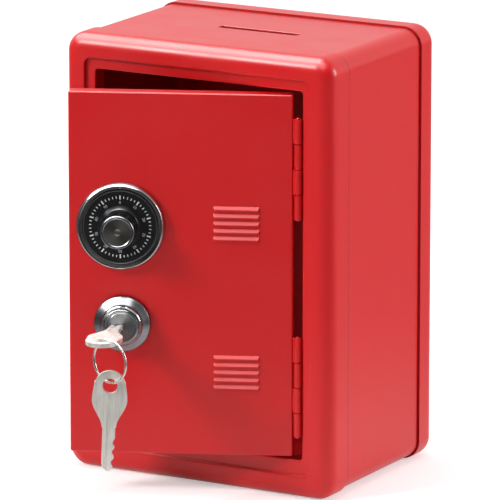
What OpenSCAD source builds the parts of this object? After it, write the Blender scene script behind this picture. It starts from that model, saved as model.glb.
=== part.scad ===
// A small sheet-steel safe used as a coin bank: a drawn front frame, a wrap-around
// sleeve with a coin slot and a back pan make the cabinet. The hinged door carries
// a turning number dial and a key lock with a cam. One key sits in the lock and a
// second hangs from it on a wire ring. The door stands ajar at rest.
// Millimetres, +Z up, front faces -Y, origin at the centre of the base.

/* [Cabinet] */
// Outside width of the cabinet
cabinet_w = 123; // [100:1:160]
// Outside depth of the cabinet, front rim to back
cabinet_d = 90; // [80:1:120]
// Outside height of the cabinet
cabinet_h = 181; // [160:1:220]
// Radius of the four upright corners seen from the front
corner_r = 8; // [7:0.5:10]
// Rounding from the front face onto the sides
edge_round = 6; // [4:0.5:6.5]
// Sheet thickness
sheet = 0.8; // [0.6:0.1:1]
// How far the front frame wraps back over the sleeve
front_skirt = 14.7; // [12:0.1:18]
// How far the back pan wraps forward over the sleeve
back_skirt = 13.2; // [10:0.1:16]

/* [Front frame] */
// Width of the raised rim, measured from the outside
rim_w = 9.7; // [9:0.1:12]
// Depth of the step from the rim down to the flange round the opening
rim_step = 1.8; // [1:0.1:2.4]
// Width of the door opening
opening_w = 95.4; // [88:0.1:98]
// Height of the door opening
opening_h = 151; // [130:0.5:155]
// Height of the opening's lower edge
opening_z = 15.8; // [14.5:0.1:18]
// Depth of the wall that turns inward at the opening
return_depth = 6.9; // [6.5:0.1:8]

/* [Coin slot] */
// Length of the coin slot in the top
coin_slot_l = 36.5; // [30:0.5:42]
// Width of the coin slot
coin_slot_w = 4.2; // [4.1:0.1:6]
// Sideways place of the slot's middle
coin_slot_x = 4.5; // [-8:0.5:8]
// Front-to-back place of the slot's middle
coin_slot_y = -1; // [-6:0.5:6]

/* [Door] */
// How far the door stands open at rest, degrees
door_ajar = 24; // [0:1:90]
// Gap between the door's free edge and the opening
door_gap = 1.8; // [1.2:0.1:3]
// Height of the door pan
door_h = 148; // [130:0.5:150]
// Depth of the flange round the door
door_depth = 6; // [5:0.1:6.4]
// Hinge pin axis, sideways from the middle
hinge_x = 45.9; // [44:0.1:46]
// Outside radius of the hinge knuckles
knuckle_r = 1.45; // [1.2:0.05:1.5]
// Length of each hinge
hinge_l = 41; // [30:0.5:45]
// Height of the middle of the upper hinge
hinge_hi_z = 135.2; // [120:0.1:145]
// Height of the middle of the lower hinge
hinge_lo_z = 45.9; // [38:0.1:60]

/* [Louvres] */
// Length of one louvre
louvre_l = 18.7; // [14:0.1:22]
// Spacing of the louvres
louvre_pitch = 3.05; // [2.6:0.05:4]
// Sideways place of the louvres' middle
louvre_x = 21.3; // [16:0.1:26]
// Height of the middle of the upper group
louvre_hi_z = 112.4; // [100:0.1:125]
// Height of the middle of the lower group
louvre_lo_z = 51.3; // [40:0.1:60]

/* [Dial] */
// Sideways place of the dial's middle
dial_x = -25; // [-30:0.1:-20]
// Height of the dial's middle
dial_z = 110.8; // [100:0.1:125]
// Outside radius of the bezel
bezel_r = 18; // [16:0.1:20]
// Radius of the number disc
disc_r = 15.1; // [13:0.1:15.2]
// Radius of the knob at its face
knob_r = 6.75; // [5:0.05:8]
// How far the knob's face stands off the door
knob_h = 13; // [10:0.1:16]

/* [Lock] */
// Sideways place of the lock's middle
lock_x = -24.4; // [-30:0.1:-20]
// Height of the lock's middle
lock_z = 71; // [60:0.1:80]
// Outside radius of the escutcheon
escutcheon_r = 11.4; // [10:0.1:13]
// Radius of the turning plug
plug_r = 7; // [6:0.1:7]
// How far the plug's face stands off the door
plug_face = 7.2; // [6:0.1:8]
// Reach of the cam from the lock's axis
cam_reach = 25; // [24:0.1:27]

/* [Keys] */
// Overall length of a key
key_l = 41; // [38:0.5:44]
// Thickness of a key
key_t = 1.7; // [1.6:0.1:1.7]
// Half width of the bow at its widest
bow_half = 7; // [6:0.1:8]
// Radius of the hole in the bow
bow_hole_r = 3; // [2.9:0.05:3.1]
// Radius of the wire ring, to the middle of the wire
ring_r = 8.6; // [8.5:0.1:9]
// Radius of the ring's wire
wire_r = 0.5; // [0.45:0.05:0.5]
// Sideways angle at which the key sits in the keyway
key_yaw = 7.5; // [0:0.5:8]
// Distance from the door to the hole of the key in the lock
key_out = 33; // [26:0.5:34]
// Turn of the ring away from the door's plane
ring_turn = 36.7; // [30:0.1:42]

/* [Hidden] */
e = 0.01;
yf = -cabinet_d / 2;                       // front plane of the rim
yb = cabinet_d / 2;                        // back plane
yd = yf + rim_step;                        // front plane of the flange and the door
hinge_y = yd - 0.4;                        // hinge pin axis
ow = opening_w / 2;
door_l = -(ow - door_gap);                 // free edge of the door
door_r = hinge_x - 2;                      // hinge edge of the door
door_z = opening_z + (opening_h - door_h) / 2 - 0.1;
pin_r = 0.8;
lapw = 12;                                 // width of the lap seam under the base
end_r = 6.1;                               // bow end, measured from the hole
shoulder = 17;                             // hole to the shoulder of the blade
blade_half = 2.5;
hole_x = lock_x - 4.7;
ring_cx = bow_hole_r + 1.55;               // ring centre from the hole, along the ring
ring_in = ring_r - wire_r;
ring_cz = lock_z + key_t / 2 - sqrt(ring_in * ring_in - 2.05 * 2.05);
ring_bot = ring_cz - ring_r;
spare_drop = 1.2;
red = [0.78, 0.09, 0.09];
steel = [0.72, 0.73, 0.75];
chromec = [0.86, 0.87, 0.89];
blackc = [0.05, 0.05, 0.055];
nickel = [0.74, 0.71, 0.66];
inner = [0.62, 0.07, 0.08];

// ---- helpers ----
// A plate with rounded corners as a plain polygon, lying in XY.
module round_plate(w, h, r, n = 6) {
    polygon([for (c = [0:3], i = [0:n])
        let (a = 90 * c + 90 * i / n,
             sx = (c == 0 || c == 3) ? 1 : -1, sy = (c < 2) ? 1 : -1)
        [sx * (w / 2 - r) + r * cos(a), sy * (h / 2 - r) + r * sin(a)]]);
}

// Everything that swings with the door is drawn with the door shut, then turned.
module on_door() {
    translate([hinge_x, hinge_y, 0]) rotate([0, 0, door_ajar])
        translate([-hinge_x, -hinge_y, 0]) children();
}

// Turned work on the door: local Z is the distance out from the door's front.
module out_of_door(x, z) {
    translate([x, yd, z]) rotate([90, 0, 0]) children();
}

// Section of a drawn pan's edge: x runs inward from the outside, y runs back from the face.
module pan_section(skirt, r = edge_round) {
    translate([0, r]) square([sheet, skirt - r]);
    translate([r, 0]) square([corner_r - r, sheet]);
    intersection() {
        difference() {
            translate([r, r]) circle(r, $fn = 96);
            translate([r, r]) circle(r - sheet, $fn = 96);
        }
        square([r, r]);
    }
}

// The drawn edge taken round the cabinet, face at z = 0 and skirt towards +z.
module pan_edge(skirt) {
    w = cabinet_w; h = cabinet_h; c = corner_r;
    for (s = [0, 1]) mirror([s, 0, 0]) {
        translate([-w / 2, h / 2 - c, 0]) rotate([90, 0, 0]) linear_extrude(h - 2 * c) pan_section(skirt);
    }
    for (s = [0, 1]) mirror([0, s, 0]) {
        translate([-(w / 2 - c), -h / 2, 0]) rotate([90, 0, 90])
            linear_extrude(w - 2 * c) pan_section(skirt);
    }
    for (q = [0:3])
        translate([(q == 0 || q == 3 ? 1 : -1) * (w / 2 - c), (q < 2 ? 1 : -1) * (h / 2 - c), 0])
            rotate([0, 0, 90 * q]) rotate_extrude(angle = 90, $fn = 96)
                translate([c, 0]) mirror([1, 0]) pan_section(skirt);
}

// Stands a flat pan (face at z = 0, skirt to +z) up as the cabinet's front.
module stand_front() {
    translate([0, yf, cabinet_h / 2]) rotate([90, 0, 180]) mirror([0, 0, 1]) rotate([0, 0, 180]) mirror([1, 0, 0]) children();
}

// ---- cabinet ----
module front_frame() {
    oz = opening_z + opening_h / 2 - cabinet_h / 2;
    fw = cabinet_w - 2 * rim_w; fh = cabinet_h - 2 * rim_w;
    color(red) translate([0, yf, cabinet_h / 2]) rotate([-90, 0, 0]) mirror([0, 1, 0]) {
        pan_edge(front_skirt);
        linear_extrude(sheet) difference() {
            square([cabinet_w - 2 * corner_r, cabinet_h - 2 * corner_r], center = true);
            round_plate(fw, fh, 3);
        }
        // step down to the flange
        linear_extrude(rim_step + sheet) difference() {
            round_plate(fw + 2 * sheet * 0.5, fh + 2 * sheet * 0.5, 3.4);
            round_plate(fw, fh, 3);
        }
        // flange round the opening
        translate([0, 0, rim_step]) linear_extrude(sheet) difference() {
            round_plate(fw + sheet, fh + sheet, 3.4);
            translate([0, oz]) round_plate(opening_w, opening_h, 1.5);
        }
        // wall turned inward at the opening
        translate([0, oz, rim_step]) linear_extrude(return_depth) difference() {
            round_plate(opening_w + 2 * sheet, opening_h + 2 * sheet, 2.3);
            round_plate(opening_w, opening_h, 1.5);
        }
    }
}

module sleeve_body() {
    r = corner_r - sheet;
    y0 = yf + edge_round + 0.6; y1 = yb - edge_round - 0.6;
    w = cabinet_w / 2 - corner_r; h = cabinet_h / 2 - corner_r;
    translate([0, y0, cabinet_h / 2]) {
        for (s = [-1, 1]) {
            translate([s > 0 ? cabinet_w / 2 - 2 * sheet : -cabinet_w / 2 + sheet, 0, -h]) cube([sheet, y1 - y0, 2 * h]);
            translate([-w, 0, s > 0 ? cabinet_h / 2 - 2 * sheet : -cabinet_h / 2 + sheet]) cube([2 * w, y1 - y0, sheet]);
        }
        for (q = [0:3])
            translate([(q == 0 || q == 3 ? 1 : -1) * w, 0, (q < 2 ? 1 : -1) * h])
                rotate([90, 0, 0]) mirror([0, 0, 1]) rotate([0, 0, 90 * q])
                    rotate_extrude(angle = 90, $fn = 96) translate([r - sheet, 0]) square([sheet, y1 - y0]);
    }
}

module cabinet_sleeve() {
    color(red) {
        difference() {
            sleeve_body();
            translate([coin_slot_x - coin_slot_l / 2, coin_slot_y - coin_slot_w / 2, cabinet_h - 4])
                cube([coin_slot_l, coin_slot_w, 6]);
        }
        // lap seam along the middle of the base, level with the two pans
        translate([-lapw / 2, yf + front_skirt + 0.4, 0])
            cube([lapw, cabinet_d - front_skirt - back_skirt - 0.8, sheet]);
    }
}

module back_pan() {
    fw = cabinet_w - 2 * (rim_w + 3); fh = cabinet_h - 2 * (rim_w + 3);
    color(red) translate([0, yb, cabinet_h / 2]) rotate([90, 0, 0]) {
        pan_edge(back_skirt);
        linear_extrude(sheet) difference() {
            square([cabinet_w - 2 * corner_r, cabinet_h - 2 * corner_r], center = true);
            round_plate(fw, fh, 4);
        }
        // panel pressed in, so the back stands on its rim
        linear_extrude(1.2 + sheet) difference() {
            round_plate(fw + sheet, fh + sheet, 4.4);
            round_plate(fw, fh, 4);
        }
        translate([0, 0, 1.2]) linear_extrude(sheet) round_plate(fw + sheet, fh + sheet, 4.4);
    }
}

// Upright strip inside the free side of the opening: the door shuts onto it and the cam hooks behind it.
module door_stop() {
    ys = yd + return_depth;
    xi = -cabinet_w / 2 + 2 * sheet;
    color(inner) {
        translate([xi, ys, 26]) cube([-44.9 - xi, 1.2, 130]);
        translate([xi, ys, 26]) cube([1.2, 11, 130]);
    }
}

// ---- hinges ----
kg = 0.35;                                  // gap between knuckles
kl = (hinge_l - 3 * kg) / 4;
module knuckle(i, bore) {                   // i counts from the top
    translate([hinge_x, hinge_y, hinge_l / 2 - (i + 1) * kl - i * kg]) difference() {
        cylinder(r = knuckle_r, h = kl, $fn = 40);
        translate([0, 0, -1]) cylinder(r = bore, h = kl + 2, $fn = 40);
    }
}
module hinge_frame_leaf(zc) {
    color(red) translate([0, 0, zc]) {
        for (i = [1, 3]) {
            knuckle(i, pin_r + 0.02);
            translate([ow - 0.9, hinge_y, hinge_l / 2 - (i + 1) * kl - i * kg]) difference() {
                cube([0.5, 2.4, kl]);
            }
        }
        translate([ow - 0.9, hinge_y + 1.8, -hinge_l / 2]) cube([0.9, 5, hinge_l]);
    }
}
module hinge_door_leaf(zc) {
    color(red) on_door() translate([0, 0, zc]) {
        for (i = [0, 2]) {
            knuckle(i, pin_r + 0.06);
            translate([door_r, hinge_y, hinge_l / 2 - (i + 1) * kl - i * kg]) cube([0.85, 2.4, kl]);
        }
        translate([door_r, hinge_y + 1.8, -hinge_l / 2]) cube([0.85, 4.2, hinge_l]);
    }
}
module hinge_pin(zc) {
    color(red) translate([hinge_x, hinge_y, zc - hinge_l / 2 - 0.5])
        cylinder(r = pin_r, h = hinge_l + 1, $fn = 40);
}
module upper_hinge_frame_leaf() { hinge_frame_leaf(hinge_hi_z); }
module lower_hinge_frame_leaf() { hinge_frame_leaf(hinge_lo_z); }
module upper_hinge_door_leaf() { hinge_door_leaf(hinge_hi_z); }
module lower_hinge_door_leaf() { hinge_door_leaf(hinge_lo_z); }
module upper_hinge_pin() { hinge_pin(hinge_hi_z); }
module lower_hinge_pin() { hinge_pin(hinge_lo_z); }

// ---- door ----
// Five louvres pressed out of the sheet: each slopes out from the top and drops back below.
module louvres(zc) {
    for (i = [-2:2])
        translate([louvre_x - louvre_l / 2, yd + e, zc + i * louvre_pitch]) rotate([90, 0, 90])
            linear_extrude(louvre_l) polygon([[0, 1.05], [-0.95, -0.25], [-0.95, -0.7], [0, -0.95]]);
}
module door_pan() {
    w = door_r - door_l;
    color(red) on_door() difference() {
        union() {
            translate([door_l, yd, door_z]) cube([w, sheet, door_h]);
            translate([door_l, yd, door_z]) cube([sheet, door_depth, door_h]);
            translate([door_r - sheet, yd, door_z]) cube([sheet, door_depth, door_h]);
            translate([door_l, yd, door_z]) cube([w, door_depth, sheet]);
            translate([door_l, yd, door_z + door_h - sheet]) cube([w, door_depth, sheet]);
            louvres(louvre_hi_z);
            louvres(louvre_lo_z);
        }
        out_of_door(dial_x, dial_z) translate([0, 0, -3]) cylinder(r = 3.06, h = 6, $fn = 48);
        for (s = [-1, 1])
            out_of_door(dial_x + s * 13, dial_z) translate([0, 0, -3]) cylinder(r = 1.05, h = 6, $fn = 32);
        out_of_door(lock_x, lock_z) translate([0, 0, -3]) cylinder(r = 8.02, h = 6, $fn = 64);
    }
}

// ---- dial ----
module dial_bezel() {
    color(chromec) on_door() out_of_door(dial_x, dial_z) {
        rotate_extrude($fn = 128) polygon([[3.06, 0], [bezel_r, 0], [bezel_r, 0.5], [disc_r + 0.9, 3.2],
            [disc_r + 0.35, 3.2], [disc_r + 0.35, 0.6], [3.06, 0.6]]);
        for (s = [-1, 1]) translate([s * 13, 0, -3.2]) cylinder(r = 1, h = 3.4, $fn = 32);
    }
}
module bezel_push_nuts() {
    color(steel) on_door() out_of_door(dial_x, dial_z)
        for (s = [-1, 1]) translate([s * 13, 0, -sheet - 0.7]) difference() {
            cylinder(r = 2.8, h = 0.7, $fn = 32);
            translate([0, 0, -1]) cylinder(r = 1.02, h = 3, $fn = 32);
        }
}
module dial_disc() {
    color(blackc) on_door() out_of_door(dial_x, dial_z)
        rotate_extrude($fn = 128) polygon([[2.62, 1], [disc_r, 1], [disc_r, 2.1], [disc_r - 0.3, 2.4], [2.62, 2.4]]);
}
module dial_knob() {
    color(blackc) on_door() out_of_door(dial_x, dial_z)
        rotate_extrude($fn = 96) polygon([[2.62, 2.4], [8.4, 2.4], [8.4, 3.2], [7.3, 4.2],
            [knob_r + 0.1, knob_h - 0.9], [2.62, knob_h - 0.9]]);
}
module knob_cap() {
    color(chromec) on_door() out_of_door(dial_x, dial_z)
        rotate_extrude($fn = 96) polygon([[0, knob_h - 0.9], [knob_r, knob_h - 0.9], [knob_r, knob_h - 0.3],
            [knob_r - 0.3, knob_h], [knob_r - 1, knob_h], [knob_r - 1.3, knob_h - 0.35],
            [1.6, knob_h - 0.25], [0.9, knob_h - 0.55], [0, knob_h - 0.65]]);
}
module dial_spindle() {
    color(steel) on_door() out_of_door(dial_x, dial_z) difference() {
        union() {
            translate([0, 0, 0.9]) cylinder(r = 2.6, h = knob_h - 1.82, $fn = 48);
            translate([0, 0, -6]) cylinder(r = 3, h = 6.9, $fn = 48);
        }
        // groove for the clip
        translate([0, 0, -4.6]) difference() {
            cylinder(r = 4, h = 0.9, $fn = 48);
            translate([0, 0, -1]) cylinder(r = 2.2, h = 3, $fn = 48);
        }
    }
}
module dial_spring_washer() {
    color(steel) on_door() out_of_door(dial_x, dial_z)
        rotate_extrude($fn = 64) polygon([[3.06, -3.8], [6.6, -1.75], [6.6, -1.15], [3.06, -3.2]]);
}
module dial_clip() {
    color(steel) on_door() out_of_door(dial_x, dial_z) translate([0, 0, -4.5]) difference() {
        cylinder(r = 4.6, h = 0.7, $fn = 48);
        translate([0, 0, -1]) cylinder(r = 2.22, h = 3, $fn = 48);
        translate([-1.6, 0, -1]) cube([3.2, 6, 3]);
    }
}

// ---- lock ----
module lock_escutcheon() {
    color(chromec) on_door() out_of_door(lock_x, lock_z)
        rotate_extrude($fn = 96) polygon([[8.02, 0], [escutcheon_r, 0], [escutcheon_r, 0.6],
            [escutcheon_r - 0.5, 1.6], [9.3, 4.6], [8.7, 5.2], [8.02, 5.3]]);
}
module lock_barrel() {
    color(chromec) on_door() out_of_door(lock_x, lock_z) difference() {
        union() {
            translate([0, 0, -15]) cylinder(r = 8, h = 20.6, $fn = 64);
        }
        translate([0, 0, -16]) cylinder(r = plug_r + 0.06, h = 24, $fn = 64);
    }
}
module lock_washer() {
    color(steel) on_door() out_of_door(lock_x, lock_z) translate([0, 0, -sheet - 0.8]) difference() {
        cylinder(r = 12, h = 0.8, $fn = 64);
        translate([0, 0, -1]) cylinder(r = 8.02, h = 3, $fn = 64);
    }
}
module lock_nut() {
    color(steel) on_door() out_of_door(lock_x, lock_z) translate([0, 0, -sheet - 4.4]) difference() {
        cylinder(r = 12, h = 3.6, $fn = 6);
        translate([0, 0, -1]) cylinder(r = 8.02, h = 6, $fn = 64);
    }
}
module lock_plug() {
    color(chromec) on_door() out_of_door(lock_x, lock_z) difference() {
        union() {
            rotate_extrude($fn = 64) polygon([[0, -15.3], [plug_r, -15.3], [plug_r, plug_face - 0.4],
                [plug_r - 0.4, plug_face], [0, plug_face]]);
            translate([-2.5, -2.5, -17.6]) cube([5, 5, 2.6]);
        }
        // keyway
        translate([-4.3, -1.2, -12.5]) cube([8.6, 2.4, 24]);
        // tapped hole for the cam screw
        translate([0, 0, -18]) cylinder(r = 1.3, h = 4.6, $fn = 32);
    }
}
// The cam hangs down when unlocked; its end is cranked forward to hook behind the stop.
module lock_cam() {
    color(steel) on_door() out_of_door(lock_x, lock_z) difference() {
        union() {
            translate([0, 0, -17.4]) cylinder(r = 6, h = 1.8, $fn = 48);
            translate([-4, -13.6, -17.4]) cube([8, 13.6, 1.8]);
            translate([-4, -13.6, -17.4]) cube([8, 1.8, 7]);
            translate([-4, -cam_reach, -12.2]) cube([8, cam_reach - 11.8, 1.8]);
        }
        translate([-2.55, -2.55, -18]) cube([5.1, 5.1, 4]);
    }
}
module cam_washer() {
    color(steel) on_door() out_of_door(lock_x, lock_z) translate([0, 0, -18.2]) difference() {
        cylinder(r = 5, h = 0.6, $fn = 40);
        translate([0, 0, -1]) cylinder(r = 1.4, h = 3, $fn = 40);
    }
}
module cam_screw() {
    color(steel) on_door() out_of_door(lock_x, lock_z) difference() {
        union() {
            translate([0, 0, -20]) cylinder(r = 2.9, h = 1.8, $fn = 40);
            translate([0, 0, -18.5]) cylinder(r = 1.28, h = 4.4, $fn = 32);
        }
        translate([-3.5, -0.4, -20.5]) cube([7, 0.8, 1.2]);
        translate([-0.4, -3.5, -20.5]) cube([0.8, 7, 1.2]);
    }
}

// ---- keys ----
// Half width of the bow at a distance y from the hole towards the blade.
function ease(a, b, t) = a + (b - a) * t * t * (3 - 2 * t);
ya = -1.5;
function bow_w(y) = y < ya ? sqrt(max(0, end_r * end_r - y * y))
    : y < 6 ? ease(sqrt(end_r * end_r - ya * ya), bow_half, (y - ya) / (6 - ya) * 0.5 + 0.5) * 0.5
              + ease(sqrt(end_r * end_r - ya * ya), bow_half, (y - ya) / (6 - ya)) * 0.5
    : ease(bow_half, blade_half + 0.3, (y - 6) / (shoulder - 6));
key_ys = concat([for (i = [0:8]) -end_r * cos(i * 9)], [for (i = [1:7]) ya + (6 - ya) * i / 7],
                [for (i = [1:10]) 6 + (shoulder - 6) * i / 10]);
module key_shape() {
    tip = key_l - end_r;
    difference() {
        union() {
            translate([0, 0, -key_t / 2]) linear_extrude(key_t) polygon(concat(
                [for (y = key_ys) [bow_w(y), y]],
                [for (i = [len(key_ys) - 1:-1:1]) [-bow_w(key_ys[i]), key_ys[i]]]));
            // blade with a row of cuts down one side and a pointed end
            translate([0, 0, -key_t / 2]) linear_extrude(key_t) polygon([
                [-blade_half, shoulder - 0.5], [-blade_half, tip - 2], [-0.6, tip], [0.8, tip],
                [1.9, tip - 1.6], [1.2, tip - 3], [1.2, tip - 4], [2.2, tip - 5.2], [2.2, tip - 6.2],
                [1.5, tip - 7.2], [1.5, tip - 8.2], [2.4, tip - 9.4], [2.4, tip - 10.2], [1.7, tip - 11.2],
                [1.7, tip - 12], [blade_half, tip - 13.4], [blade_half, shoulder - 0.5]]);
        }
        translate([0, 0, -2]) cylinder(r = bow_hole_r, h = 4, $fn = 40);
        // grooves milled down both faces of the blade
        for (s = [-1, 1]) translate([-1.1, shoulder - 2.5, s > 0 ? key_t / 2 - 0.4 : -key_t / 2 - 0.6])
            cube([1.2, key_l, 1]);
    }
}
module lock_key() {
    color(nickel) on_door() translate([hole_x, yd - key_out, lock_z]) rotate([0, 0, -key_yaw]) key_shape();
}
rdx = cos(ring_turn); rdy = -sin(ring_turn);
module key_ring() {
    color(nickel) on_door() translate([hole_x + ring_cx * rdx, yd - key_out + ring_cx * rdy, ring_cz])
        rotate([0, 0, -ring_turn]) rotate([90, 0, 0])
            rotate_extrude($fn = 96) translate([ring_r, 0]) circle(wire_r, $fn = 24);
}
module spare_key() {
    color(nickel) on_door()
        translate([hole_x + ring_cx * rdx, yd - key_out + ring_cx * rdy, ring_bot - spare_drop])
            rotate([0, 2, 0]) rotate([-90, 0, 0]) key_shape();
}

front_frame();
cabinet_sleeve();
back_pan();
door_stop();
upper_hinge_frame_leaf();
lower_hinge_frame_leaf();
upper_hinge_pin();
lower_hinge_pin();
door_pan();
upper_hinge_door_leaf();
lower_hinge_door_leaf();
dial_bezel();
bezel_push_nuts();
lock_escutcheon();
lock_barrel();
lock_washer();
lock_nut();
dial_disc();
dial_spindle();
dial_knob();
knob_cap();
dial_spring_washer();
dial_clip();
lock_plug();
lock_cam();
cam_washer();
cam_screw();
lock_key();
key_ring();
spare_key();
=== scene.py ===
# %% [markdown]
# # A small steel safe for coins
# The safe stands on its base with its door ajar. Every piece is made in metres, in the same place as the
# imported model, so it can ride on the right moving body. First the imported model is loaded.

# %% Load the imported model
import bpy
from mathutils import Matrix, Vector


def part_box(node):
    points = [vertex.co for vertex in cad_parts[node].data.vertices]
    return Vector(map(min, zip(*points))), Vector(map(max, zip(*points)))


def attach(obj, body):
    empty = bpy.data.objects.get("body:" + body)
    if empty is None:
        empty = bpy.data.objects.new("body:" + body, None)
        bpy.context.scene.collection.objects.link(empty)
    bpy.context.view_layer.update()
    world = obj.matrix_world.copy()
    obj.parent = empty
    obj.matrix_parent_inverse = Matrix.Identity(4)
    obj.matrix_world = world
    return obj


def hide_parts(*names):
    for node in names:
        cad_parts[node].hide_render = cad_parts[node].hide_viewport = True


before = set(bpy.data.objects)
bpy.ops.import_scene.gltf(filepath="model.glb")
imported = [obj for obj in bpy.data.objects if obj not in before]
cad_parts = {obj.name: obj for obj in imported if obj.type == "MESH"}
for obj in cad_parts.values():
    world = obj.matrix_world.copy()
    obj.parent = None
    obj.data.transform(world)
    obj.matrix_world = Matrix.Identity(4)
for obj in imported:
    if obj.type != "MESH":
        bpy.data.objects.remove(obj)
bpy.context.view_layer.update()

import math
import bpy
import bmesh
from mathutils import Matrix, Vector

# %% [markdown]
# ## Sizes
# These are the working dimensions of the safe. The door's parts are made as if the door were shut, then
# turned about the hinge pin by the angle at which it stands open.

# %% Dimensions in metres
MM = 0.001
WIDTH, DEPTH, HEIGHT = 123 * MM, 90 * MM, 181 * MM
CORNER, EDGE, SHEET = 8 * MM, 6 * MM, 0.8 * MM
FRONT_SKIRT, BACK_SKIRT = 14.7 * MM, 13.2 * MM
RIM, STEP, RETURN = 9.7 * MM, 1.8 * MM, 6.9 * MM
OPENING_W, OPENING_H, OPENING_Z = 95.4 * MM, 151 * MM, 15.8 * MM
FRONT, BACK = -DEPTH / 2, DEPTH / 2
DOOR_FACE = FRONT + STEP
HINGE_X, HINGE_Y = 45.9 * MM, DOOR_FACE - 0.4 * MM
DOOR_LEFT, DOOR_RIGHT = -(OPENING_W / 2 - 1.8 * MM), HINGE_X - 2 * MM
DOOR_H = 148 * MM
DOOR_Z = OPENING_Z + (OPENING_H - DOOR_H) / 2 - 0.1 * MM
MIDDLE = OPENING_Z + OPENING_H / 2
DOOR_ANGLE, KEY_LEAN = 24, 7.5
DIAL_X, DIAL_Z, STUD_X = -25, 110.8, 13      # millimetres, from the middle of the safe's base
LOCK_X, LOCK_Z = -24.4, 71


def turned_by(degrees, axis="Z"):
    return Matrix.Rotation(math.radians(degrees), 4, axis)


hinge = Vector((HINGE_X, HINGE_Y, 0))
AJAR = Matrix.Translation(hinge) @ turned_by(DOOR_ANGLE) @ Matrix.Translation(-hinge)
UPRIGHT = turned_by(90, "X")     # a shape drawn flat in XY stands up, face towards -Y
print("opening", OPENING_W, "x", OPENING_H, "door", DOOR_RIGHT - DOOR_LEFT, "x", DOOR_H)


def out_of_door(x, z):
    """Place for turned work: local Z points straight out of the door's face at that spot."""
    return AJAR @ Matrix.Translation((x * MM, DOOR_FACE, z * MM)) @ UPRIGHT


DIAL = out_of_door(DIAL_X, DIAL_Z)
LOCK = out_of_door(LOCK_X, LOCK_Z)
print("dial at", DIAL.translation, "lock at", LOCK.translation)

# %% [markdown]
# ## Shader groups
# Several finishes share the same effects, so each effect is a node group with named sockets, built once.
# A group only gives out masks, heights and colours; the shader itself stays in each material.

# %% Start a shader group
def new_group(name, inputs, outputs):
    group = bpy.data.node_groups.new(name, "ShaderNodeTree")
    for label, kind, value in inputs:
        socket = group.interface.new_socket(name=label, in_out="INPUT", socket_type=kind)
        if value is not None:
            socket.default_value = value
    for label, kind in outputs:
        group.interface.new_socket(name=label, in_out="OUTPUT", socket_type=kind)
    return group, group.nodes.new("NodeGroupInput"), group.nodes.new("NodeGroupOutput")


def node(tree, kind, **settings):
    made = tree.nodes.new(kind)
    for key, value in settings.items():
        setattr(made, key, value)
    return made


print("groups are made by", new_group.__name__)

# %% [markdown]
# ### Sums on masks
# Masks are mixed with plain sums, so each sum is one call. An input is either a socket or a number.

# %% Sums on masks
def sum_up(tree, operation, a, b=None, c=None, clamp=False):
    """One Math node; each input is a socket or a number."""
    made = node(tree, "ShaderNodeMath", operation=operation, use_clamp=clamp)
    for i, value in enumerate((a, b, c)):
        if value is None:
            continue
        if isinstance(value, (int, float)):
            made.inputs[i].default_value = value
        else:
            tree.links.new(value, made.inputs[i])
    return made.outputs[0]


def times(tree, a, b):
    return sum_up(tree, "MULTIPLY", a, b)


def plus(tree, a, b):
    return sum_up(tree, "ADD", a, b)


def stretch(tree, value, low, high, to_low=0.0, to_high=1.0):
    made = node(tree, "ShaderNodeMapRange", clamp=True)
    tree.links.new(value, made.inputs["Value"])
    for label, number in (("From Min", low), ("From Max", high), ("To Min", to_low), ("To Max", to_high)):
        made.inputs[label].default_value = number
    return made.outputs["Result"]


def round_the_axis(tree, place):
    """The three parts of a place, and how far it lies from the Z axis."""
    parts = node(tree, "ShaderNodeSeparateXYZ")
    tree.links.new(place, parts.inputs["Vector"])
    square_x = times(tree, parts.outputs["X"], parts.outputs["X"])
    square_y = times(tree, parts.outputs["Y"], parts.outputs["Y"])
    return parts.outputs, sum_up(tree, "SQRT", plus(tree, square_x, square_y))


print("sums are made by", sum_up.__name__, times.__name__, plus.__name__)

# %% [markdown]
# ### Orange peel
# Powder paint cures with a very fine dimpled skin. A noise of about a millimetre gives the dimples, a
# finer one the tooth between them, and a slow one the small differences in gloss from place to place.

# %% Orange peel group
orange_peel, gi, go = new_group(
    "Orange Peel",
    [("Vector", "NodeSocketVector", None), ("Dimple Scale", "NodeSocketFloat", 1100.0),
     ("Tooth", "NodeSocketFloat", 0.35)],
    [("Height", "NodeSocketFloat"), ("Gloss Drift", "NodeSocketFloat")])
dimples = node(orange_peel, "ShaderNodeTexNoise", noise_dimensions="3D")
dimples.inputs["Detail"].default_value = 2.0
tooth = node(orange_peel, "ShaderNodeTexNoise")
tooth.inputs["Detail"].default_value = 1.0
drift = node(orange_peel, "ShaderNodeTexNoise")
drift.inputs["Scale"].default_value = 45.0
drift.inputs["Detail"].default_value = 3.0
link = orange_peel.links.new
for texture in (dimples, tooth, drift):
    link(gi.outputs["Vector"], texture.inputs["Vector"])
link(gi.outputs["Dimple Scale"], dimples.inputs["Scale"])
link(times(orange_peel, gi.outputs["Dimple Scale"], 3.7), tooth.inputs["Scale"])
fine = times(orange_peel, tooth.outputs["Fac"], gi.outputs["Tooth"])
link(plus(orange_peel, dimples.outputs["Fac"], fine), go.inputs["Height"])
link(stretch(orange_peel, drift.outputs["Fac"], 0.3, 0.7, -1.0, 1.0), go.inputs["Gloss Drift"])
print("group", orange_peel.name)
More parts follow.
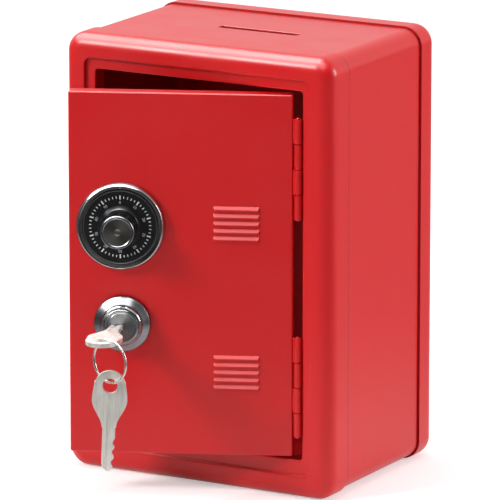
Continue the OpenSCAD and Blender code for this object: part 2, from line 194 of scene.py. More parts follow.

# %% [markdown]
# ### Edge wear and highlight
# Corners and edges get handled, so paint polishes there; the finishes also lighten their colour along the
# mask, which is a painted highlight. The Bevel node gives the normal of a rounded copy of the surface: where
# it leans away from the true normal there is an edge. A noise breaks the mask up.

# %% Edge wear and highlight group
edge_wear_and_highlight, gi, go = new_group(
    "Edge Wear And Highlight",
    [("Vector", "NodeSocketVector", None), ("Width", "NodeSocketFloat", 0.0006),
     ("Patchiness", "NodeSocketFloat", 220.0)],
    [("Mask", "NodeSocketFloat")])
rounded = node(edge_wear_and_highlight, "ShaderNodeBevel", samples=4)
true_normal = node(edge_wear_and_highlight, "ShaderNodeNewGeometry")
lean = node(edge_wear_and_highlight, "ShaderNodeVectorMath", operation="DOT_PRODUCT")
patch = node(edge_wear_and_highlight, "ShaderNodeTexNoise")
patch.inputs["Detail"].default_value = 4.0
link = edge_wear_and_highlight.links.new
link(gi.outputs["Width"], rounded.inputs["Radius"])
link(rounded.outputs["Normal"], lean.inputs[0])
link(true_normal.outputs["Normal"], lean.inputs[1])
link(gi.outputs["Vector"], patch.inputs["Vector"])
link(gi.outputs["Patchiness"], patch.inputs["Scale"])
edge = stretch(edge_wear_and_highlight, lean.outputs["Value"], 0.995, 0.86)
broken = stretch(edge_wear_and_highlight, patch.outputs["Fac"], 0.35, 0.65)
link(sum_up(edge_wear_and_highlight, "MULTIPLY", edge, broken, clamp=True), go.inputs["Mask"])
print("group", edge_wear_and_highlight.name)

# %% [markdown]
# ### Handling film
# Fingers leave a soft uneven film, and a little dust settles on what faces up. The film changes
# roughness, the dust lightens the colour.

# %% Handling film group
handling, gi, go = new_group(
    "Handling Film",
    [("Vector", "NodeSocketVector", None), ("Scale", "NodeSocketFloat", 60.0)],
    [("Film", "NodeSocketFloat"), ("Dust", "NodeSocketFloat")])
smear = node(handling, "ShaderNodeTexNoise")
smear.inputs["Detail"].default_value = 2.0
speck = node(handling, "ShaderNodeTexVoronoi", feature="F1")
speck.inputs["Scale"].default_value = 900.0
facing = node(handling, "ShaderNodeNewGeometry")
split = node(handling, "ShaderNodeSeparateXYZ")
link = handling.links.new
link(gi.outputs["Vector"], smear.inputs["Vector"])
link(gi.outputs["Scale"], smear.inputs["Scale"])
link(gi.outputs["Vector"], speck.inputs["Vector"])
link(facing.outputs["Normal"], split.inputs["Vector"])
film = stretch(handling, smear.outputs["Fac"], 0.35, 0.75)
link(film, go.inputs["Film"])
up = stretch(handling, split.outputs["Z"], 0.6, 1.0)
grains = stretch(handling, speck.outputs["Distance"], 0.28, 0.05)
link(times(handling, up, times(handling, grains, film)), go.inputs["Dust"])
print("group", handling.name)

# %% [markdown]
# ### Turning lines
# Turned and spun metal keeps very fine rings left by the tool. Turned pieces carry their own attribute,
# `lathe_place`, with each point's place measured from the lathe's axis, so the rings follow the piece and
# not the world. The distance from the axis drives a one-dimensional noise.

# %% Turning lines group
turning, gi, go = new_group(
    "Turning Lines",
    [("Place", "NodeSocketVector", None), ("Lines", "NodeSocketFloat", 9000.0)],
    [("Height", "NodeSocketFloat"), ("Sheen", "NodeSocketFloat")])
link = turning.links.new
axes, radius = round_the_axis(turning, gi.outputs["Place"])
walk = plus(turning, radius, axes["Z"])
rings = node(turning, "ShaderNodeTexNoise", noise_dimensions="1D")
rings.inputs["Detail"].default_value = 2.0
link(walk, rings.inputs["W"])
link(gi.outputs["Lines"], rings.inputs["Scale"])
link(rings.outputs["Fac"], go.inputs["Height"])
# The angle round the axis gives a sheen, bright twice in each turn: a painted highlight of spun metal.
angle = sum_up(turning, "ARCTAN2", axes["Y"], axes["X"])
fan = sum_up(turning, "SINE", times(turning, angle, 2.0))
link(stretch(turning, fan, -1.0, 1.0), go.inputs["Sheen"])
print("group", turning.name)

# %% [markdown]
# ### Dial marks
# The ring of fine marks round the dial is printed, so it belongs in the material. The angle round the
# axis is cut into equal parts, and a mark shows near the middle of each, between two radii.

# %% Dial marks group
dial_marks, gi, go = new_group(
    "Dial Marks",
    [("Place", "NodeSocketVector", None), ("Count", "NodeSocketFloat", 50.0),
     ("Inner Radius", "NodeSocketFloat", 0.012),
     ("Outer Radius", "NodeSocketFloat", 0.013), ("Half Width", "NodeSocketFloat", 0.00012)],
    [("Mask", "NodeSocketFloat")])
axes, radius = round_the_axis(dial_marks, gi.outputs["Place"])
angle = sum_up(dial_marks, "ARCTAN2", axes["X"], axes["Y"])
turn = sum_up(dial_marks, "DIVIDE", angle, math.tau)
part = plus(dial_marks, times(dial_marks, turn, gi.outputs["Count"]), 200.5)
off = sum_up(dial_marks, "SUBTRACT", sum_up(dial_marks, "FRACT", part), 0.5)
swing = times(dial_marks, sum_up(dial_marks, "ABSOLUTE", off), math.tau)
arc = sum_up(dial_marks, "DIVIDE", times(dial_marks, swing, radius), gi.outputs["Count"])
narrow = sum_up(dial_marks, "LESS_THAN", arc, gi.outputs["Half Width"])
inside = sum_up(dial_marks, "GREATER_THAN", radius, gi.outputs["Inner Radius"])
outside = sum_up(dial_marks, "LESS_THAN", radius, gi.outputs["Outer Radius"])
dial_marks.links.new(times(dial_marks, narrow, times(dial_marks, inside, outside)), go.inputs["Mask"])
print("group", dial_marks.name)

# %% [markdown]
# ## Finishes
# Each finish is one material. A helper starts it with a Principled shader and the coordinates it needs.

# %% Start a finish
def new_finish(name, colour, roughness, metallic=0.0):
    material = bpy.data.materials.new(name)
    material.use_nodes = True
    material.diffuse_color = (*colour, 1)
    tree = material.node_tree
    shader = tree.nodes["Principled BSDF"]
    shader.inputs["Base Color"].default_value = (*colour, 1)
    shader.inputs["Roughness"].default_value = roughness
    shader.inputs["Metallic"].default_value = metallic
    place = node(tree, "ShaderNodeTexCoord").outputs["Object"]
    return material, tree, shader, place


def use_group(tree, group, place, socket="Vector", **values):
    made = node(tree, "ShaderNodeGroup", node_tree=group)
    tree.links.new(place, made.inputs[socket])
    for label, value in values.items():
        made.inputs[label.replace("_", " ")].default_value = value
    return made


def tint(tree, factor, first, second):
    """Mix two colours by a mask; each colour is a socket or a triple."""
    made = node(tree, "ShaderNodeMix", data_type="RGBA")
    tree.links.new(factor, made.inputs["Factor"])
    for index, value in ((6, first), (7, second)):
        if isinstance(value, tuple):
            made.inputs[index].default_value = (*value, 1)
        else:
            tree.links.new(value, made.inputs[index])
    return made.outputs[2]


def bump(tree, shader, height, distance, strength=1.0):
    made = node(tree, "ShaderNodeBump")
    made.inputs["Strength"].default_value = strength
    made.inputs["Distance"].default_value = distance
    tree.links.new(height, made.inputs["Height"])
    tree.links.new(made.outputs["Normal"], shader.inputs["Normal"])


print("finish helpers ready")

# %% [markdown]
# ### Painted seam shade
# Where one sheet laps over another, a fine dark line is painted along the lap: painted shade for the step
# and narrow gap there. The mask is full beside the seam, fades out within its width, and is broken up a
# little by a noise.

# %% Painted seam shade group
painted_seam_shade, gi, go = new_group(
    "Painted Seam Shade",
    [("Place", "NodeSocketVector", None), ("Seam", "NodeSocketFloat", 0.0),
     ("Width", "NodeSocketFloat", 0.0014)],
    [("Mask", "NodeSocketFloat")])
axes = node(painted_seam_shade, "ShaderNodeSeparateXYZ")
specks = node(painted_seam_shade, "ShaderNodeTexNoise")
specks.inputs["Scale"].default_value = 260.0
for step in (axes, specks):
    painted_seam_shade.links.new(gi.outputs["Place"], step.inputs["Vector"])
away = sum_up(painted_seam_shade, "ABSOLUTE", sum_up(painted_seam_shade, "SUBTRACT", axes.outputs["Y"], gi.outputs["Seam"]))
fade = stretch(painted_seam_shade, sum_up(painted_seam_shade, "DIVIDE", away, gi.outputs["Width"]), 0.4, 1.0, 1.0, 0.0)
broken = stretch(painted_seam_shade, specks.outputs["Fac"], 0.3, 0.6, 0.7, 1.0)
painted_seam_shade.links.new(times(painted_seam_shade, fade, broken), go.inputs["Mask"])
print("group", painted_seam_shade.name)

# %% [markdown]
# ### Red powder coat
# The cabinet, door and hinges share one bright red satin powder coat. The skin is dimpled, edges are a
# little glossier where handling polished them and a lighter red there, a painted highlight, and a handling
# film lifts the roughness in patches.

# %% Red powder coat
def powder_coat(name, colour, edge_highlight_colour, roughness, shine, shaded_seams=()):
    material, tree, shader, place = new_finish(name, colour, roughness)
    shader.inputs["Specular IOR Level"].default_value = shine
    peel = use_group(tree, orange_peel, place, Dimple_Scale=1150.0, Tooth=0.3)
    wear_and_highlight = use_group(tree, edge_wear_and_highlight, place, Width=0.0005, Patchiness=240.0)
    film = use_group(tree, handling, place, Scale=55.0)
    # Edges are lifted to a lighter red, a painted highlight; the same mask makes them a little glossier.
    edge_highlight = times(tree, wear_and_highlight.outputs["Mask"], 0.55)
    edge_highlighted = tint(tree, edge_highlight, colour, edge_highlight_colour)
    dusty = tint(tree, times(tree, film.outputs["Dust"], 0.12), edge_highlighted, (0.75, 0.5, 0.48))
    # Each lap seam gets a dark red line along it: painted shade.
    for seam, width in shaded_seams:
        seam_shade_mask = use_group(tree, painted_seam_shade, place, "Place", Seam=seam, Width=width)
        dusty = tint(tree, seam_shade_mask.outputs["Mask"], dusty, (0.16, 0.002, 0.003))
    tree.links.new(dusty, shader.inputs["Base Color"])
    drift = times(tree, peel.outputs["Gloss Drift"], 0.02)
    patchy = times(tree, film.outputs["Film"], 0.05)
    worn = times(tree, wear_and_highlight.outputs["Mask"], -0.08)
    total = plus(tree, plus(tree, drift, patchy), plus(tree, worn, roughness))
    tree.links.new(total, shader.inputs["Roughness"])
    bump(tree, shader, peel.outputs["Height"], 0.000018, 0.4)
    return material


red_coat = powder_coat("Red_powder_coat", (0.66, 0.003, 0.005), (0.76, 0.03, 0.03), 0.30, 0.5)
# The sleeve's red carries painted shade along its laps under the front and back skirts.
red_sleeve = powder_coat("Red_powder_coat_sleeve", (0.66, 0.003, 0.005), (0.76, 0.03, 0.03), 0.30, 0.5,
                         ((FRONT + FRONT_SKIRT, 2.5 * MM), (BACK - BACK_SKIRT, 1.4 * MM)))
# Inside faces take a darker copy of the red, painted shade for the hollow; it is also rougher and duller.
red_shaded_inside = powder_coat("Red_powder_coat_shaded_inside", (0.48, 0.004, 0.006), (0.58, 0.02, 0.02), 0.5, 0.2)
print("finishes", red_coat.name, red_sleeve.name, red_shaded_inside.name)

# %% [markdown]
# ### Chrome plate
# The dial's frame, the lock and the knob's cap are chrome plated. Chrome is a metal with almost no
# roughness, so what makes it read is the faint turning lines under the plate and the finger film on top.

# %% Chrome plate and spun face
def plated(name, colour, roughness, lines, depth, film_amount, anisotropy=0.0):
    material, tree, shader, place = new_finish(name, colour, roughness, 1.0)
    lathe = node(tree, "ShaderNodeAttribute", attribute_name="lathe_place").outputs["Vector"]
    turned_lines = use_group(tree, turning, lathe, "Place", Lines=lines)
    film = use_group(tree, handling, place, Scale=140.0)
    smear = times(tree, film.outputs["Film"], film_amount)
    tree.links.new(plus(tree, smear, roughness), shader.inputs["Roughness"])
    shader.inputs["Anisotropic"].default_value = anisotropy
    bump(tree, shader, turned_lines.outputs["Height"], depth, 0.5)
    return material, tree, shader, turned_lines


chrome = plated("Chrome_plate", (0.46, 0.47, 0.48), 0.13, 5200.0, 0.000004, 0.09)[0]
satin_chrome = plated("Chrome_satin", (0.24, 0.25, 0.265), 0.22, 5200.0, 0.000006, 0.09)[0]
spun_face, tree, shader, lines = plated("Spun_face", (0.14, 0.135, 0.13), 0.40, 7000.0, 0.00002, 0.05, 0.4)
# The spun face is lighter and darker in a fan round its middle: a painted highlight.
fan_colour = tint(tree, lines.outputs["Sheen"], (0.11, 0.105, 0.095), (0.24, 0.235, 0.22))
tree.links.new(fan_colour, shader.inputs["Base Color"])
print("finishes", chrome.name, satin_chrome.name, spun_face.name)

# %% [markdown]
# ### Zinc and nickel
# Hidden hardware is zinc plated: greyer and rougher than chrome, with a mottled bloom. Keys and the wire
# ring are nickel: warmer, softly brushed along the blade.

# %% Zinc and nickel
def soft_metal(name, dark, light, roughness, grain, stretch_by):
    material, tree, shader, place = new_finish(name, light, roughness, 1.0)
    mapping = node(tree, "ShaderNodeMapping")
    mapping.inputs["Scale"].default_value = stretch_by
    tree.links.new(place, mapping.inputs["Vector"])
    brush = node(tree, "ShaderNodeTexNoise")
    brush.inputs["Scale"].default_value = grain
    brush.inputs["Detail"].default_value = 4.0
    tree.links.new(mapping.outputs["Vector"], brush.inputs["Vector"])
    wear_and_highlight = use_group(tree, edge_wear_and_highlight, place, Width=0.0003, Patchiness=500.0)
    film = use_group(tree, handling, place, Scale=180.0)
    bloom = stretch(tree, brush.outputs["Fac"], 0.3, 0.7)
    base = tint(tree, bloom, dark, light)
    # Edges are lifted to a lighter metal: a painted highlight.
    edges = tint(tree, times(tree, wear_and_highlight.outputs["Mask"], 0.6), base, tuple(min(1.0, c * 1.2) for c in light))
    tree.links.new(edges, shader.inputs["Base Color"])
    smear = times(tree, film.outputs["Film"], 0.10)
    grainy = times(tree, bloom, 0.10)
    tree.links.new(plus(tree, plus(tree, smear, grainy), roughness), shader.inputs["Roughness"])
    bump(tree, shader, brush.outputs["Fac"], 0.00001, 0.4)
    return material


zinc = soft_metal("Zinc_plate", (0.42, 0.43, 0.44), (0.60, 0.61, 0.61), 0.30, 420.0, (1, 1, 1))
nickel = soft_metal("Nickel_key", (0.68, 0.66, 0.61), (0.85, 0.83, 0.78), 0.40, 900.0, (1, 1, 0.12))
wire_nickel = soft_metal("Nickel_wire", (0.55, 0.53, 0.49), (0.74, 0.71, 0.66), 0.18, 700.0, (1, 1, 1))


print("finishes", zinc.name, nickel.name, wire_nickel.name)

# %% [markdown]
# ### Black plastic and ink
# The dial and knob are glossy black moulded plastic. The dial's marks are mixed into its colour, and the
# ink of its numbers is a pale grey that printed a little unevenly.

# %% Black plastic and ink
def black_plastic(name, marks):
    material, tree, shader, place = new_finish(name, (0.012, 0.012, 0.013), 0.16)
    peel = use_group(tree, orange_peel, place, Dimple_Scale=900.0, Tooth=0.1)
    film = use_group(tree, handling, place, Scale=120.0)
    wear_and_highlight = use_group(tree, edge_wear_and_highlight, place, Width=0.0003, Patchiness=400.0)
    smear = times(tree, film.outputs["Film"], 0.12)
    tree.links.new(plus(tree, smear, 0.14), shader.inputs["Roughness"])
    # Edges are lifted to a dark grey: a painted highlight.
    colour = tint(tree, wear_and_highlight.outputs["Mask"], (0.012, 0.012, 0.013), (0.05, 0.05, 0.052))
    if marks:
        lathe = node(tree, "ShaderNodeAttribute", attribute_name="lathe_place").outputs["Vector"]
        short = use_group(tree, dial_marks, lathe, "Place", Count=50.0, Inner_Radius=0.0116,
                          Outer_Radius=0.0125, Half_Width=0.00016)
        long = use_group(tree, dial_marks, lathe, "Place", Count=10.0, Inner_Radius=0.0112,
                         Outer_Radius=0.0128, Half_Width=0.00026)
        both = sum_up(tree, "MAXIMUM", short.outputs["Mask"], long.outputs["Mask"])
        colour = tint(tree, both, colour, (0.70, 0.71, 0.70))
    tree.links.new(colour, shader.inputs["Base Color"])
    bump(tree, shader, peel.outputs["Height"], 0.000006, 0.4)
    return material


black = black_plastic("Black_knob_plastic", False)
black_dial = black_plastic("Black_dial_printed", True)
ink, ink_tree, ink_shader, ink_place = new_finish("Dial_ink", (0.66, 0.67, 0.68), 0.4)
ink_noise = node(ink_tree, "ShaderNodeTexNoise")
ink_noise.inputs["Scale"].default_value = 2500.0
ink_tree.links.new(ink_place, ink_noise.inputs["Vector"])
ink_patches = stretch(ink_tree, ink_noise.outputs["Fac"], 0.3, 0.7)
ink_mix = tint(ink_tree, ink_patches, (0.34, 0.36, 0.40), (0.46, 0.48, 0.52))
ink_tree.links.new(ink_mix, ink_shader.inputs["Base Color"])
print("finishes", black.name, black_dial.name, ink.name)

# %% [markdown]
# ## From a bmesh to a piece
# Every piece ends the same way: the shape is moved to its place inside the mesh, the object stays at the
# origin, flat faces meet at sharp edges and curved ones are smooth, and the piece is told which body it
# rides on, given its finishes, and told which CAD node it stands for: the one of the same name in small
# letters.

# %% Finish a piece
def finish_piece(bm, name, body, finishes, place=None, sharp=32):
    lathe_place = bm.verts.layers.float_vector.new("lathe_place")
    for vert in bm.verts:
        vert[lathe_place] = vert.co
    if place is not None:
        bmesh.ops.transform(bm, matrix=place, verts=bm.verts)
    mesh = bpy.data.meshes.new(name)
    bm.to_mesh(mesh)
    bm.free()
    mesh.polygons.foreach_set("use_smooth", [True] * len(mesh.polygons))
    mesh.set_sharp_from_angle(angle=math.radians(sharp))
    piece = bpy.data.objects.new(name, mesh)
    bpy.context.scene.collection.objects.link(piece)
    even = piece.modifiers.new("even shading", "WEIGHTED_NORMAL")
    even.keep_sharp = True
    for finish in finishes:
        mesh.materials.append(finish)
    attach(piece, body)
    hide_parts(name.lower())
    print(f"{name}: {len(mesh.polygons)} faces on {body}")
    return piece


print("finish_piece ready")

# %% [markdown]
# ### Joining and carving
# Pieces are drawn with few helpers. One adds a shape to another, and one cuts or unites two closed shapes.
# Points that a cut leaves almost on top of each other are welded, or rounding the edges later would fail.

# %% Joining and carving
def line_inside(bm):
    """Gives the faces that look in at the middle of the safe the second finish, a darker red painted as
    shade.
    """
    middle = Vector((0, 0, HEIGHT / 2))
    bm.normal_update()
    for face in bm.faces:
        if (face.calc_center_median() - middle).dot(face.normal) < 0:
            face.material_index = 1


def join_in(bm, other):
    """Add another bmesh's shape to this one and free it."""
    mesh = bpy.data.meshes.new("joining")
    other.to_mesh(mesh)
    other.free()
    bm.from_mesh(mesh)
    bpy.data.meshes.remove(mesh)


def carve(bm, cutter, operation="DIFFERENCE"):
    """Cut one closed shape from another with Blender's exact Boolean, and give back a new bmesh."""
    things = []
    for shape in (bm, cutter):
        mesh = bpy.data.meshes.new("carving")
        shape.to_mesh(mesh)
        shape.free()
        thing = bpy.data.objects.new("carving", mesh)
        bpy.context.scene.collection.objects.link(thing)
        things.append(thing)
    tool = things[0].modifiers.new("cut", "BOOLEAN")
    tool.operation, tool.solver, tool.object = operation, "EXACT", things[1]
    view = bpy.context.evaluated_depsgraph_get()
    result = bmesh.new()
    result.from_mesh(things[0].evaluated_get(view).to_mesh())
    for thing in things:
        mesh = thing.data
        bpy.data.objects.remove(thing)
        bpy.data.meshes.remove(mesh)
    bmesh.ops.remove_doubles(result, verts=result.verts, dist=0.003 * MM)
    bmesh.ops.dissolve_degenerate(result, edges=result.edges, dist=0.002 * MM)
    return result


print("shapes are joined by", join_in.__name__, "and cut by", carve.__name__)

# %% [markdown]
# ### Rounding and turning
# No real edge is quite sharp, so almost every edge gets a small round one of its own size.

# %% Rounding and turning
def round_edges(bm, edges, width, segments):
    bmesh.ops.bevel(bm, geom=edges, offset=width, offset_type="OFFSET", segments=segments, profile=0.5,
                    affect="EDGES", clamp_overlap=True, material=-1)


def soften(bm, width, segments=2, angle=30):
    """Round every edge sharper than the angle."""
    sharp = [e for e in bm.edges if len(e.link_faces) == 2 and e.calc_face_angle(0) > math.radians(angle)]
    round_edges(bm, sharp, width, segments)


def spun(bm, degrees, axis="Z"):
    bmesh.ops.rotate(bm, verts=bm.verts, matrix=Matrix.Rotation(math.radians(degrees), 3, axis))
    return bm


print("edges are rounded by", soften.__name__)

# %% [markdown]
# ## Rounded rectangles
# The front, the sleeve and the back are all drawn round a rounded rectangle. It starts as one square
# face, is scaled, and its four corner points are bevelled into arcs with the same number of steps, so
# that any two of them can be bridged.

# %% Rounded rectangle loops
ARC = 10


def rounded_loop(bm, width, height, radius, depth):
    """Edges of one rounded rectangle in XZ at that depth along Y; the face that made it is dropped."""
    made = bmesh.ops.create_grid(bm, x_segments=1, y_segments=1, size=0.5)
    corners = made["verts"]
    place = Matrix.Translation((0, depth, HEIGHT / 2)) @ UPRIGHT
    bmesh.ops.transform(bm, matrix=place @ Matrix.Diagonal((width, height, 1, 1)), verts=corners)
    rounded = bmesh.ops.bevel(bm, geom=corners, offset=radius, offset_type="OFFSET", segments=ARC,
                              profile=0.5, affect="VERTICES", clamp_overlap=False, material=-1)
    faces = {f for v in rounded["verts"] for f in v.link_faces}
    edges = [e for f in faces for e in f.edges]
    bmesh.ops.delete(bm, geom=list(faces), context="FACES_ONLY")
    return list(dict.fromkeys(edges))


def bridge_chain(bm, loops):
    for first, second in zip(loops, loops[1:]):
        bmesh.ops.bridge_loops(bm, edges=first + second)


test = bmesh.new()
print("points in a loop:", len(rounded_loop(test, 0.1, 0.1, 0.01, 0)))
test.free()

# %% [markdown]
# ### From loops to sheet metal
# The pressed pans are closed skins: loops run down the outside, turn over the edge and come back up the
# inside, one sheet's thickness in. Thickening a single skin with a Solidify modifier is quicker, but it
# thins the sheet in tight bends, and the wall of a pressing stays even.

# %% Close a skin into sheet metal
def sheet_section(rows, closed=True):
    """Loops from (width, height, corner, depth) rows, bridged in order. They are bridged well apart,
    because two loops in one plane bridge crossed, and then each is moved to its own depth."""
    bm = bmesh.new()
    apart = 5 * MM
    made = [rounded_loop(bm, w, h, r, k * apart) for k, (w, h, r, depth) in enumerate(rows)]
    bridge_chain(bm, made + made[:1] if closed else made)
    if not closed:
        for rim in (made[0], made[-1]):
            bmesh.ops.contextual_create(bm, geom=rim)
    for k, (loop, row) in enumerate(zip(made, rows)):
        bmesh.ops.translate(bm, verts=list({v for e in loop for v in e.verts}),
                            vec=(0, row[3] - k * apart, 0))
    bmesh.ops.recalc_face_normals(bm, faces=bm.faces)
    print("longest edge", round(max(e.calc_length() for e in bm.edges), 4), "volume in ml",
          round(bm.calc_volume() * 1e6, 2))
    return bm


def quarter(inset, front, radius, inward, start_corner, steps=7, from_side=True):
    """Loops for a quarter-round edge between skirt and face; inward is +1 where the skirt runs to +Y."""
    loops = []
    for k in range(steps + 1):
        turn = math.pi / 2 * k / steps
        i = inset + radius * (1 - math.cos(turn))
        loops.append((WIDTH - 2 * i, HEIGHT - 2 * i, start_corner - (i - inset),
                      front + inward * radius * (1 - math.sin(turn))))
    return loops if from_side else loops[::-1]


# %% [markdown]
# ## Front frame
# The front of the cabinet is one pressed sheet: a skirt that slips over the sleeve, a round edge, a flat
# rim, a step down to the flange that the door closes over, and a wall turned inwards at the opening. In
# section that is one line that folds back on itself a sheet's thickness away, so the section is taken
# round the cabinet as loops and the loops are bridged. The opening is made in the middle and then raised
# to its place.

# %% Front frame
OPEN_LIFT = MIDDLE - HEIGHT / 2


def at_inset(inset, corner, depth):
    return (WIDTH - 2 * inset, HEIGHT - 2 * inset, corner, depth)


def at_opening(grow, corner, depth):
    return (OPENING_W + 2 * grow, OPENING_H + 2 * grow, corner, depth)


outside = [at_inset(0, CORNER, FRONT + FRONT_SKIRT), at_inset(0, CORNER, FRONT + 9 * MM)]
outside += quarter(0, FRONT, EDGE, 1, CORNER)
outside += [at_inset(RIM - 0.9 * MM, 3.5 * MM, FRONT), at_inset(RIM - 0.6 * MM, 3.4 * MM, FRONT),
            at_inset(RIM - 0.2 * MM, 3.15 * MM, FRONT + 0.12 * MM), at_inset(RIM, 3 * MM, FRONT + 0.5 * MM),
            at_inset(RIM, 3 * MM, DOOR_FACE - 0.35 * MM),
            at_inset(RIM + 0.12 * MM, 2.9 * MM, DOOR_FACE - 0.1 * MM),
            at_inset(RIM + 0.4 * MM, 2.7 * MM, DOOR_FACE)]
outside += [at_opening(0.7 * MM, 2.1 * MM, DOOR_FACE), at_opening(0.5 * MM, 1.9 * MM, DOOR_FACE),
            at_opening(0.13 * MM, 1.6 * MM, DOOR_FACE + 0.15 * MM),
            at_opening(0, 1.5 * MM, DOOR_FACE + 0.5 * MM),
            at_opening(0, 1.5 * MM, DOOR_FACE + RETURN)]
inside = [at_opening(SHEET, 2.3 * MM, DOOR_FACE + RETURN), at_opening(SHEET, 2.3 * MM, DOOR_FACE + SHEET),
          at_inset(RIM - SHEET, 3.8 * MM, DOOR_FACE + SHEET),
          at_inset(RIM - SHEET, 3.8 * MM, FRONT + SHEET)]
inside += quarter(SHEET, FRONT + SHEET, EDGE - SHEET, 1, CORNER - SHEET, from_side=False)
inside += [at_inset(SHEET, CORNER - SHEET, FRONT + FRONT_SKIRT)]
front = sheet_section(outside + inside)
near_opening = [v for v in front.verts if abs(v.co.x) < OPENING_W / 2 + 1.2 * MM
                and abs(v.co.z - HEIGHT / 2) < OPENING_H / 2 + 1.2 * MM]
bmesh.ops.translate(front, verts=near_opening, vec=(0, 0, OPEN_LIFT))
finish_piece(front, "Front_frame", "cabinet", [red_coat])

# %% [markdown]
# ## Sleeve with the coin slot
# One sheet is wrapped into the sides, top and base, with its seam lapped along the base. Its edges slip
# under the skirts of the front and back. The slot is punched in the top with a rounded tool, and its lip
# is eased so coins don't catch.

# %% Sleeve
SLEEVE_END = BACK - EDGE - 0.6 * MM
sleeve = sheet_section([at_inset(SHEET, CORNER - SHEET, -SLEEVE_END),
                        at_inset(SHEET, CORNER - SHEET, SLEEVE_END),
                        at_inset(2 * SHEET, CORNER - 2 * SHEET, SLEEVE_END),
                        at_inset(2 * SHEET, CORNER - 2 * SHEET, -SLEEVE_END)])


def block(low, high, ease=0.0, segments=2):
    """A block between two corners, in millimetres, with its edges eased."""
    bm = bmesh.new()
    bmesh.ops.create_cube(bm, size=1.0)
    size = [(b - a) * MM for a, b in zip(low, high)]
    centre = [(a + b) / 2 * MM for a, b in zip(low, high)]
    bmesh.ops.transform(bm, matrix=Matrix.Translation(centre) @ Matrix.Diagonal((*size, 1)), verts=bm.verts)
    if ease:
        soften(bm, ease * MM, segments)
    return bm


SLOT_X, SLOT_HALF, SLOT_Y, SLOT_W = 4.5, 18.25, -1, 4.2
punch = block((SLOT_X - SLOT_HALF, SLOT_Y - SLOT_W / 2, 178),
              (SLOT_X + SLOT_HALF, SLOT_Y + SLOT_W / 2, 183))
corners = [e for e in punch.edges if abs(e.verts[0].co.z - e.verts[1].co.z) > MM]
round_edges(punch, corners, 0.9 * MM, 4)
sleeve = carve(sleeve, punch)
top_of_sleeve = HEIGHT - SHEET


def on_the_lip(v):
    near_slot = abs(v.co.x / MM - SLOT_X) < 18.3 and abs(v.co.y / MM - SLOT_Y) < 2.2
    return near_slot and abs(v.co.z - top_of_sleeve) < 0.01 * MM


lip = [e for e in sleeve.edges if all(on_the_lip(v) for v in e.verts)]
round_edges(sleeve, lip, 0.3 * MM, 3)
join_in(sleeve, block((-6, -29.9, 0), (6, 31.4, 0.8), 0.25))
print("edges on the slot's lip:", len(lip))
line_inside(sleeve)
finish_piece(sleeve, "Cabinet_sleeve", "cabinet", [red_sleeve, red_shaded_inside])

# %% [markdown]
# ## Back
# The back is drawn like a shallow tray. Its panel is pressed in a little, which stiffens it and lets the
# safe stand against a wall on its rim.

# %% Back pan
PANEL_INSET = RIM + 3 * MM
outside = [at_inset(0, CORNER, BACK - BACK_SKIRT), at_inset(0, CORNER, BACK - 8 * MM)]
outside += quarter(0, BACK, EDGE, -1, CORNER)
outside += [at_inset(PANEL_INSET - 0.8 * MM, 4.5 * MM, BACK),
            at_inset(PANEL_INSET - 0.2 * MM, 4.1 * MM, BACK - 0.2 * MM),
            at_inset(PANEL_INSET, 4 * MM, BACK - 0.8 * MM),
            at_inset(PANEL_INSET + 0.4 * MM, 3.7 * MM, BACK - 1.2 * MM)]
inside = [at_inset(PANEL_INSET - 0.4 * MM, 4.4 * MM, BACK - 2 * MM),
          at_inset(PANEL_INSET - SHEET, 4.8 * MM, BACK - 1.6 * MM),
          at_inset(PANEL_INSET - SHEET, 4.8 * MM, BACK - SHEET)]
inside += quarter(SHEET, BACK - SHEET, EDGE - SHEET, -1, CORNER - SHEET, from_side=False)
inside += [at_inset(SHEET, CORNER - SHEET, BACK - BACK_SKIRT)]
back = sheet_section(outside[::-1] + inside[::-1], closed=False)
line_inside(back)
finish_piece(back, "Back_pan", "cabinet", [red_coat, red_shaded_inside])

# %% [markdown]
# ## Door stop
# Inside the opening, on the free side, an upright angle strip is welded to the sleeve. The door shuts
# against it and the lock's cam hooks behind it. Two blocks united and eased make the angle.

# %% Door stop
INNER_LEFT = -61.5 + 1.6
stop = carve(block((INNER_LEFT, -36.3, 26), (-44.9, -35.1, 156)),
             block((INNER_LEFT, -36.3, 26), (INNER_LEFT + 1.2, -25.3, 156)), "UNION")
bmesh.ops.remove_doubles(stop, verts=stop.verts, dist=0.001 * MM)
soften(stop, 0.25 * MM, 2, 60)
# The stop takes the darker red, painted shade inside the opening.
finish_piece(stop, "Door_stop", "cabinet", [red_shaded_inside])

# %% [markdown]
# ## Turned shapes
# Most small parts are turned work, so they are drawn as a lathe makes them: a few corner points are spun
# once round the Z axis, and the ring-shaped corners are eased. In the door's parts Z points straight out
# of its face, so 0 is the face and what is behind the door has a height below it.

# %% Turned shapes
def lathe(points, steps=96, ease=0.0, segments=2):
    """Spin a few (radius, height) points, in millimetres, round Z; then ease the ring-shaped corners."""
    bm = bmesh.new()
    line = [bm.verts.new((r * MM, 0, z * MM)) for r, z in points]
    ends = zip(line, line[1:] + line[:1]) if points[0][0] > 0 else zip(line, line[1:])
    edges = [bm.edges.new(pair) for pair in ends]
    bmesh.ops.spin(bm, geom=line + edges, cent=(0, 0, 0), axis=(0, 0, 1), angle=2 * math.pi, steps=steps,
                   use_merge=True)
    bmesh.ops.remove_doubles(bm, verts=bm.verts, dist=0.0005 * MM)
    bmesh.ops.recalc_face_normals(bm, faces=bm.faces)
    if ease:
        soften(bm, ease * MM, segments, 25)
    return bm


def rod(radius, low, high, steps=48):
    return lathe([(0, low), (radius, low), (radius, high), (0, high)], steps)


def moved(bm, *place):
    bmesh.ops.transform(bm, matrix=Matrix.Translation([v * MM for v in place]), verts=bm.verts)
    return bm


print("a test washer has", len(lathe([(2, 0), (4, 0), (4, 1), (2, 1)], 48, 0.1).faces), "faces")

